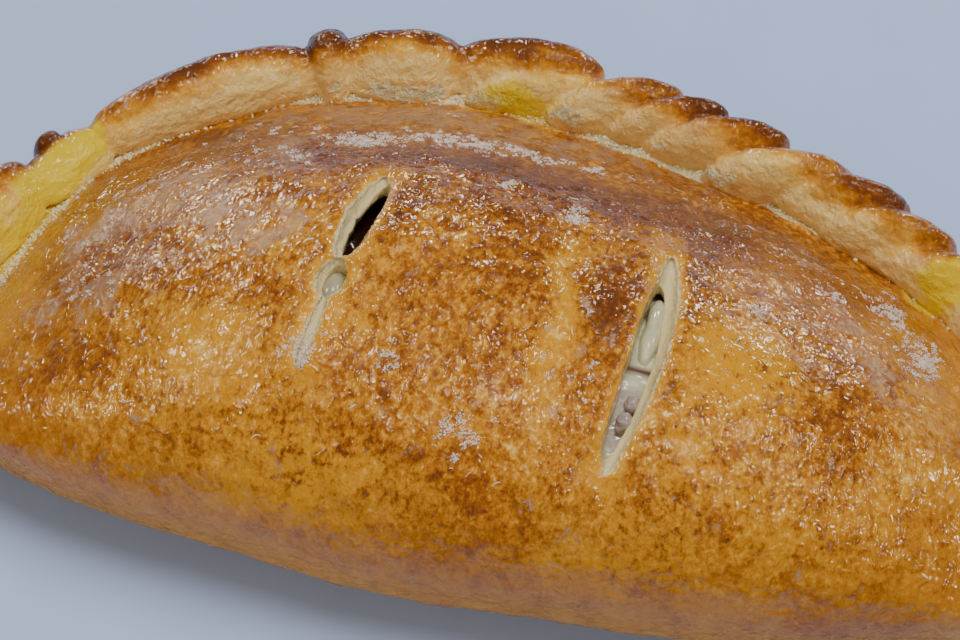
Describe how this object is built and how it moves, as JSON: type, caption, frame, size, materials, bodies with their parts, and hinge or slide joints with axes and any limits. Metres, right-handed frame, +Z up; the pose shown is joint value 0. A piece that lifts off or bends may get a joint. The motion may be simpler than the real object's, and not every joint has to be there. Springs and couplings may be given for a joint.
{
  "type": "calzone",
  "caption": "Half-moon calzone: a domed, golden-brown dough turnover with a rope-crimped rim, slits across its top, and the cheese and ham filling showing through them.",
  "frame": {"origin": "on the table, below the middle of the calzone's bounding box", "axes": "+X along the fold, -Y towards the rounded fold at the front, +Y towards the crimped rim at the back, +Z up"},
  "size_m": [0.2748, 0.1559, 0.0479],
  "materials": {
    "crust": "oiled, blistered baked dough, golden to dark brown, pale in the folds of the rim",
    "cheese": "wet melted cheese",
    "ham": "moist cooked ham"
  },
  "bodies": {
    "root": {"crust": "crust", "filling": "cheese", "ham_1": "ham", "ham_2": "ham"}
  },
  "joints": []
}
